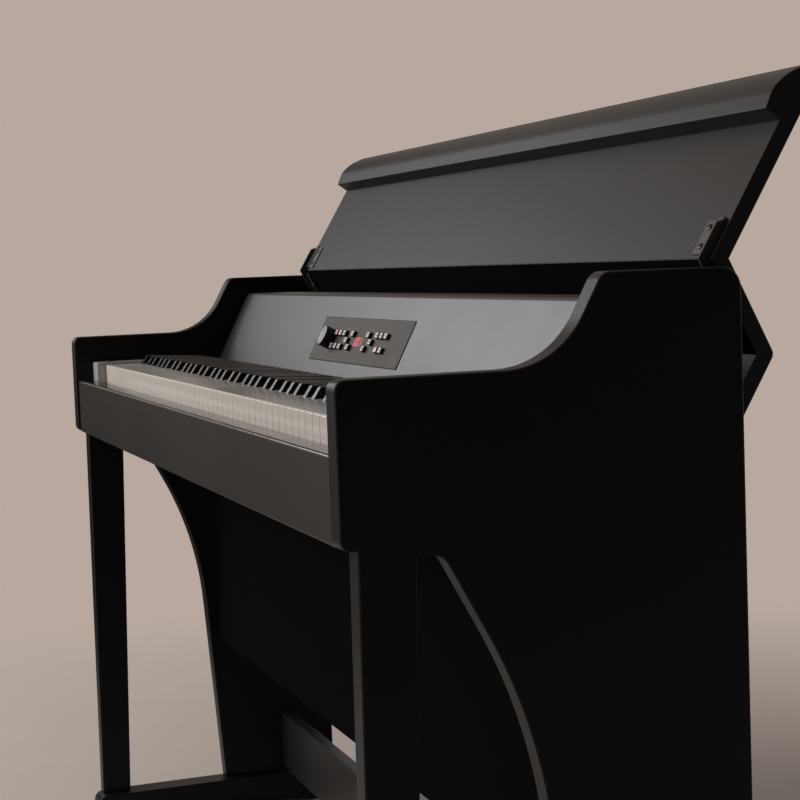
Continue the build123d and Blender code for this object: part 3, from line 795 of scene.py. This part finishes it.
def join_pieces(pieces, name):
    """Make one object of several."""
    activate(pieces[0])
    for piece in pieces:
        piece.select_set(True)
    bpy.ops.object.join()
    pieces[0].name = name
    return pieces[0]


def open_ring(piece, wall):
    """Turn a disc or a block into a ring, by cutting both ends open and joining the two rims."""
    choose_faces(piece, lambda middle, normal: abs(normal.z) > level_limit)
    bpy.ops.mesh.inset(thickness=wall, use_individual=True)
    bpy.ops.mesh.delete(type="FACE")
    bpy.ops.mesh.select_mode(type="EDGE")
    bpy.ops.mesh.select_all(action="DESELECT")
    bpy.ops.mesh.select_non_manifold()
    bpy.ops.mesh.bridge_edge_loops()
    bpy.ops.mesh.select_all(action="SELECT")
    bpy.ops.mesh.normals_make_consistent(inside=False)
    bpy.ops.object.mode_set(mode="OBJECT")


print("modelling helpers ready")

# %% [markdown]
# ## Two boards with a second finish
# The front rail is polished where it faces up, and the lid's sloping board has near-black flat
# paint on the side that looks at the keys, as painted shade. A second piece on top could show this
# too, but a material slot of its own for those faces leaves the board whole.

# %% Polished rail and painted shade on the lid's slope
keyslip, slope_board = boards["keyslip"], boards["slope_board"]
choose_faces(keyslip, lambda middle, normal: normal.z > 0.25)
paint_chosen(keyslip, polished_lacquer)
# Painted shade: the slope's faces that look at the keys get the near-black flat paint.
choose_faces(slope_board, lambda middle, normal: normal.y < -0.5 and normal.z < -0.2)
paint_chosen(slope_board, painted_shade_paint)
clear_selection()
painted = [face for face in slope_board.data.polygons if face.material_index == 1]
print("painted faces", len(painted))

# %% [markdown]
# ## Control panel
# Seventeen caps, a knob and a display sit on a plate that leans back with the panel behind the
# keys. The knob's axis in the record stands square on the plate, so the panel's own directions
# come from it. Each fitting is modelled lying flat at the origin and then carried to the slope,
# which is simpler than modelling on a slope.

# %% Panel directions


def find_joint(name):
    """The joint of that name in the record."""
    return next(joint for joint in frame["joints"] if joint["name"] == name)


turning = find_joint("volume_turn")
panel_out = Vector(turning["axis"]).normalized()
panel_right = Vector((1, 0, 0))
panel_up = panel_out.cross(panel_right)
panel_zero = Vector((0, turning["pos_m"][1], turning["pos_m"][2]))
panel_turn = Matrix((panel_right, panel_up, panel_out)).transposed().to_4x4()


def panel_span(node):
    """Lowest and highest place of a solid along the panel's own directions."""
    to_panel = panel_turn.inverted()
    places = [to_panel @ (corner.co - panel_zero) for corner in frame["nodes"][node].data.vertices]
    low = Vector([min(place[axis] for place in places) for axis in range(3)])
    high = Vector([max(place[axis] for place in places) for axis in range(3)])
    return low, high


def on_panel(right, up, out):
    """The place of a fitting on the panel."""
    return Matrix.Translation(panel_zero) @ panel_turn @ Matrix.Translation((right, up, out))


plate_low, plate_high = panel_span("control_plate")
print("plate", [round(1000 * side, 1) for side in plate_high - plate_low], "mm")

# %% [markdown]
# ## Button caps
# Each button is a black body with a hidden collar under the plate, a pale face and a small window
# that two of them have lit. One is modelled and copied to all places: the collar is a block, its
# top is inset and extruded to make the body, and two more insets draw the face and the window.

# %% Button caps
collar_height = 1.0 * millimetre
collar_step = 0.8 * millimetre
cap_rim = 0.5 * millimetre
window_border = 1.9 * millimetre
window_depth = 0.3 * millimetre
cap_edge = 0.15 * millimetre
lit_buttons = ("button_left_upper_1", "button_right_lower_2")

low, high = panel_span("button_left_upper_1")
button = flat_block("button", (high.x - low.x, high.y - low.y, collar_height), black_cap)
body_height = high.z - low.z - collar_height
choose_faces(button, looks_up)
bpy.ops.mesh.inset(thickness=collar_step)
bpy.ops.mesh.extrude_region_move(TRANSFORM_OT_translate={"value": (0, 0, body_height)})
bpy.ops.mesh.inset(thickness=cap_rim)
paint_chosen(button, pale_cap)
bpy.ops.mesh.inset(thickness=window_border, depth=-window_depth)
paint_chosen(button, black_cap)
round_edges(button, cap_edge)

button_nodes = [node for node in frame["nodes"] if node.startswith("button_")]
for node in button_nodes:
    low, high = panel_span(node)
    middle = (low + high) / 2
    spot = on_panel(middle.x, middle.y, low.z + collar_height / 2)
    cap = placed_copy(button, "cap_" + node, spot)
    if node in lit_buttons:
        cap.data.materials[2] = button_red
    hand_over(cap, body_of[node], slot_of[node], node)
bpy.data.objects.remove(button)
print("caps", len(button_nodes))

# %% [markdown]
# ## Volume knob
# The knob is a black grip with fine flutes and a face painted grey as a painted reflection. The
# flutes could be a bump, but they show in the outline, so every second side of the cylinder is
# pressed in. The face is inset twice, which leaves a rim, and the shaft is drawn out of the underside.

# %% Volume knob
grip_sides = 72
grip_height = 14 * millimetre
shaft_radius = 3 * millimetre
flute_border, flute_depth = 0.12 * millimetre, 0.3 * millimetre
rim_width, rim_slope, face_depth = 0.9 * millimetre, 0.4 * millimetre, 0.4 * millimetre
grip_edge = 0.12 * millimetre
pointer_size = (1.2 * millimetre, 5 * millimetre, 0.5 * millimetre)
pointer_edge = 0.2 * millimetre
pointer_sink = 0.3 * millimetre
low, high = panel_span("volume_knob")
knob_middle = (low + high) / 2
knob_radius = (high.x - low.x) / 2
knob = upright_cylinder("turned_knob", grip_sides, knob_radius, grip_height, black_cap)
side_angle = math.tau / grip_sides


def every_second_side(middle, normal):
    """Whether a face is one of the sides that become flutes."""
    side = int(math.atan2(normal.y, normal.x) % math.tau / side_angle)
    return abs(normal.z) < level_limit and side % 2 == 0


choose_faces(knob, every_second_side)
bpy.ops.mesh.inset(thickness=flute_border, depth=-flute_depth, use_individual=True)
choose_faces(knob, looks_up)
bpy.ops.mesh.inset(thickness=rim_width)
bpy.ops.mesh.inset(thickness=rim_slope, depth=-face_depth)
# Painted reflection: the face inside the rim gets the grey finish.
paint_chosen(knob, knob_painted_reflection)
choose_faces(knob, looks_down)
bpy.ops.mesh.inset(thickness=knob_radius - shaft_radius)
shaft_length = high.z - low.z - grip_height
bpy.ops.mesh.extrude_region_move(TRANSFORM_OT_translate={"value": (0, 0, -shaft_length)})
round_edges(knob, grip_edge)
pointer = flat_block("pointer", pointer_size, black_cap)
round_edges(pointer, pointer_edge)
carry(pointer, Matrix.Translation((0, knob_radius / 2, grip_height / 2 - pointer_sink)))
knob = join_pieces([knob, pointer], "turned_knob")
carry(knob, on_panel(knob_middle.x, knob_middle.y, high.z - grip_height / 2))
hand_over(knob, body_of["volume_knob"], slot_of["volume_knob"], "volume_knob")
print("knob", round(2000 * knob_radius, 1), "mm across")

# %% [markdown]
# ## Display and plate details
# The display shows a plain number in strokes of light. One stroke is a bar with pointed ends, and
# a table says which strokes each figure needs. Real figures lean a little, which is one matrix
# on the finished mesh. A dark ring around the plate is painted shade for the gap there, and short
# printed dashes mark the buttons.

# %% Display figures
stroke_length = 3.7 * millimetre
stroke_width = 1.1 * millimetre
stroke_height = 0.2 * millimetre
point_length = 0.7 * millimetre
figure_pitch = 9.6 * millimetre
half_wide = 2.9 * millimetre
half_tall = 5.2 * millimetre
point_width = 0.2
lean_amount = 0.12
lean = Matrix(((1, lean_amount, 0, 0), (0, 1, 0, 0), (0, 0, 1, 0), (0, 0, 0, 1)))
stroke_places = {
    "top": (0, 1, 0), "bottom": (0, -1, 0),
    "right_upper": (1, 0.5, 90), "right_lower": (1, -0.5, 90),
    "left_upper": (-1, 0.5, 90), "left_lower": (-1, -0.5, 90),
}
figure_strokes = {"0": tuple(stroke_places), "1": ("right_upper", "right_lower")}
shown_number = "001"

stroke = flat_block("stroke", (stroke_length, stroke_width, stroke_height), led_red)
for side in (-1, 1):
    choose_faces(stroke, lambda middle, normal: normal.x * side > 0.9)
    bpy.ops.mesh.extrude_region_move(TRANSFORM_OT_translate={"value": (side * point_length, 0, 0)})
    bpy.ops.transform.resize(value=(1, point_width, 1), center_override=(0, 0, 0))
strokes = []
for place, figure in enumerate(shown_number):
    for name in figure_strokes[figure]:
        across, along, angle = stroke_places[name]
        right = (place - 1) * figure_pitch + across * half_wide
        turn = Matrix.Rotation(math.radians(angle), 4, "Z")
        spot = Matrix.Translation((right, along * half_tall, 0)) @ turn
        strokes.append(placed_copy(stroke, "stroke copy", spot))
bpy.data.objects.remove(stroke)
figures = join_pieces(strokes, "display_figures")
figures.data.transform(lean)
low, high = panel_span("display_window")
window_middle = (low + high) / 2
carry(figures, on_panel(window_middle.x, window_middle.y, high.z + stroke_height / 4))
hand_over(figures, "cabinet", "display")
print("strokes", len(strokes))

# %% Painted shade ring and dashes
painted_shade_ring_width = 0.7 * millimetre
painted_shade_ring_height = 0.5 * millimetre
painted_shade_ring_play = 0.05 * millimetre
painted_shade_ring_edge = 0.1 * millimetre
border = 2 * (painted_shade_ring_width + painted_shade_ring_play)
plate_size = plate_high - plate_low
plate_middle = (plate_low + plate_high) / 2
painted_shade_ring_size = (plate_size.x + border, plate_size.y + border, painted_shade_ring_height)
# Painted shade: a dark rubber ring stands in for the shade in the gap around the plate.
painted_shade_ring = flat_block("plate_painted_shade_ring", painted_shade_ring_size, rubber)
open_ring(painted_shade_ring, painted_shade_ring_width)
round_edges(painted_shade_ring, painted_shade_ring_edge)
carry(painted_shade_ring, on_panel(plate_middle.x, plate_middle.y, painted_shade_ring_height / 2))
hand_over(painted_shade_ring, "cabinet", "rubber")

dash_size = (3.6 * millimetre, 0.7 * millimetre, 0.06 * millimetre)
dash_edge = 0.02 * millimetre
dash_distance = 3.0 * millimetre
dash_lift = 0.02 * millimetre
dash = flat_block("dash", dash_size, print_ink)
round_edges(dash, dash_edge, segments=1)
dashes = []
for node in button_nodes:
    low, high = panel_span(node)
    spot = on_panel((low.x + high.x) / 2, high.y + dash_distance, plate_high.z + dash_lift)
    dashes.append(placed_copy(dash, "dash copy", spot))
bpy.data.objects.remove(dash)
hand_over(join_pieces(dashes, "panel_dashes"), "cabinet", "control_plate")
print("painted_shade_ring", round(1000 * painted_shade_ring_size[0], 1), "mm wide, dashes", len(dashes))

# %% [markdown]
# ## Screws
# Pan-head screws hold the lid on its arms, and the speakers and the pedal box under the cabinet.
# A round head with a domed top gets a cross recess from two bars and a Boolean. The arms' screws
# are placed with the lid shut, where their plates lie level, and are then turned open with it.

# %% One screw
head_sides = 24
head_radius = 3.2 * millimetre
head_height = 1.4 * millimetre
dome_steps = ((0.8 * millimetre, 0.5 * millimetre), (0.9 * millimetre, 0.15 * millimetre))
recess_size = (3.2 * millimetre, 0.8 * millimetre, 2 * millimetre)
recess_height = 1.3 * millimetre
screw = upright_cylinder("screw", head_sides, head_radius, head_height, zinc)
choose_faces(screw, looks_up)
for width, rise in dome_steps:
    bpy.ops.mesh.inset(thickness=width, depth=rise)
for angle in (0, 90):
    bar = flat_block("recess bar", recess_size, zinc)
    turn = Matrix.Rotation(math.radians(angle), 4, "Z")
    bar.matrix_world = Matrix.Translation((0, 0, recess_height)) @ turn
    apply_modifier(screw, "BOOLEAN", operation="DIFFERENCE", object=bar, solver="EXACT")
    bpy.data.objects.remove(bar)
activate(screw)
bpy.ops.object.shade_smooth_by_angle(angle=smooth_angle)
print("screw faces", len(screw.data.polygons))

# %% Screws and plates of the lid
screw_sink = 0.05 * millimetre
plate_across = 0.618
plate_along = -0.0604
cover_under = 0.7425
screw_spread = 0.010
arm_plate_size = (0.019, 0.036, 1.5 * millimetre)
chamfer_width, chamfer_depth = 1.5 * millimetre, 0.3 * millimetre
arm_plate_edge = 0.2 * millimetre
arm_plate_sink = 0.01 * millimetre
slope_across = 0.633
slope_point = (-0.02201, 0.76438)
slope_out = (0, 0.84551, -0.53396)
both_sides = (-1, 1)


def screw_place(point, direction):
    """A screw whose head stands on a point and looks along a direction."""
    turn = Vector(direction).to_track_quat("Z", "Y").to_matrix().to_4x4()
    rise = Matrix.Translation((0, 0, head_height / 2 - screw_sink))
    return Matrix.Translation(point) @ turn @ rise


folding = find_joint("lid_fold")
pivot = Matrix.Translation(folding["pos_m"])
opened = pivot @ Matrix.Rotation(math.radians(-folding["range_deg"][1]), 4, "X") @ pivot.inverted()
cover_screws = [
    (side * plate_across, plate_along + end * screw_spread, cover_under)
    for side in both_sides for end in (1, -1)
]
slope_screws = [(side * slope_across, *slope_point) for side in both_sides]
lid_places = [opened @ screw_place(spot, (0, 0, -1)) for spot in cover_screws]
lid_places += [opened @ screw_place(spot, slope_out) for spot in slope_screws]
copies = [placed_copy(screw, "lid screw", place) for place in lid_places]
for copy in copies[:len(cover_screws)]:
    copy.data.materials[0] = black_plating
hand_over(join_pieces(copies, "lid_screws"), "lid", "steel")

plate = flat_block("plate", arm_plate_size, plate_paint)
choose_faces(plate, looks_down)
bpy.ops.mesh.inset(thickness=chamfer_width, depth=chamfer_depth)
round_edges(plate, arm_plate_edge)
plate_height = cover_under + arm_plate_size[2] / 2 - arm_plate_sink
copies = []
for side in both_sides:
    spot = Matrix.Translation((side * plate_across, plate_along, plate_height))
    copies.append(placed_copy(plate, "arm plate", opened @ spot))
bpy.data.objects.remove(plate)
hand_over(join_pieces(copies, "arm_plates"), "lid", "arm_paint")
print("lid screws", len(lid_places))

# %% Screws of the cabinet
driver_across = 0.42
ear_reach = 0.11
ear_spread = 0.034
ear_thickness = 6 * millimetre
box_across = 0.135
box_heights = (0.078, 0.106)
box_ear = 6 * millimetre
speaker_low, speaker_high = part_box("speakers")
ear_under = speaker_high.z - ear_thickness
speaker_middle = (speaker_low.y + speaker_high.y) / 2
cabinet_places = []
for side in both_sides:
    for end in both_sides:
        for across in both_sides:
            ear_across = side * (driver_across + end * ear_reach)
            ear_along = speaker_middle + across * ear_spread
            cabinet_places.append(screw_place((ear_across, ear_along, ear_under), (0, 0, -1)))
box_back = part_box("pedal_box")[1].y
for side in both_sides:
    for height in box_heights:
        spot = (side * box_across, box_back - box_ear, height)
        cabinet_places.append(screw_place(spot, (0, -1, 0)))
copies = [placed_copy(screw, "cabinet screw", place) for place in cabinet_places]
hand_over(join_pieces(copies, "cabinet_screws"), "cabinet", "steel")
bpy.data.objects.remove(screw)
print("cabinet screws", len(cabinet_places))

# %% [markdown]
# ## Speakers and inlet
# The drivers fire down behind the knee board. Their boxes are dressed like the other solids, and
# only the faces inside the cones become paper, with a rubber roll around each and a dust cap in
# the middle. At the back a small collar rings the inlet for the power supply's plug.

# %% Speakers and inlet
cone_radius = 0.040
cone_depth = 0.022
cone_middle = 0.010
speakers = dress("speakers", housing, 0.6 * millimetre, clamp=True)


def in_cone(middle, normal):
    """Whether a face lies in one of the two cones."""
    reach = math.hypot(abs(middle.x) - driver_across, middle.y - speaker_middle)
    shallow = middle.z < speaker_low.z + cone_depth
    return reach < cone_radius and shallow and (normal.z < -0.2 or reach > cone_middle)


choose_faces(speakers, in_cone)
paint_chosen(speakers, paper_cone)
clear_selection()
painted = [face for face in speakers.data.polygons if face.material_index == 1]
print("cone faces", len(painted))

# %% Rolls and dust caps
roll_sides, cap_sides = 64, 40
roll_radius, roll_width, roll_height = cone_radius + 0.004, 6 * millimetre, 2 * millimetre
roll_edge, roll_lift = 0.9 * millimetre, 1.2 * millimetre
cap_radius, cap_thickness = 0.015, 1 * millimetre
cap_dome_edge, cap_lift = 0.3 * millimetre, 18.6 * millimetre
cap_steps = ((2.5, 3.0), (3.5, 2.0), (4.5, 1.0))
roll = upright_cylinder("roll", roll_sides, roll_radius, roll_height, rubber)
open_ring(roll, roll_width)
round_edges(roll, roll_edge, segments=3)
dust_cap = upright_cylinder("dust cap", cap_sides, cap_radius, cap_thickness, paper_cone)
choose_faces(dust_cap, looks_down)
for width, rise in cap_steps:
    bpy.ops.mesh.inset(thickness=width * millimetre, depth=rise * millimetre)
round_edges(dust_cap, cap_dome_edge)
driver_parts = []
for side in both_sides:
    for piece, lift in ((roll, roll_lift), (dust_cap, cap_lift)):
        spot = Matrix.Translation((side * driver_across, speaker_middle, speaker_low.z + lift))
        driver_parts.append(placed_copy(piece, "driver part", spot))
bpy.data.objects.remove(roll)
bpy.data.objects.remove(dust_cap)
hand_over(join_pieces(driver_parts, "driver_details"), "cabinet", "housing")
print("driver parts", len(driver_parts))

# %% Collar of the inlet
collar_sides = 48
collar_radius, collar_wall, collar_thickness = 6.5 * millimetre, 3.3 * millimetre, 1.6 * millimetre
collar_edge = 0.4 * millimetre
collar_lift = 0.7 * millimetre
inlet_across, inlet_height = -0.3, 0.456
collar = upright_cylinder("inlet_collar", collar_sides, collar_radius, collar_thickness, housing)
open_ring(collar, collar_wall)
round_edges(collar, collar_edge)
spot = Matrix.Translation((inlet_across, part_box("back_panel")[1].y + collar_lift, inlet_height))
carry(collar, spot @ Matrix.Rotation(math.radians(90), 4, "X"))
hand_over(collar, "cabinet", "housing")
print("collar", round(2000 * collar_radius, 1), "mm across")
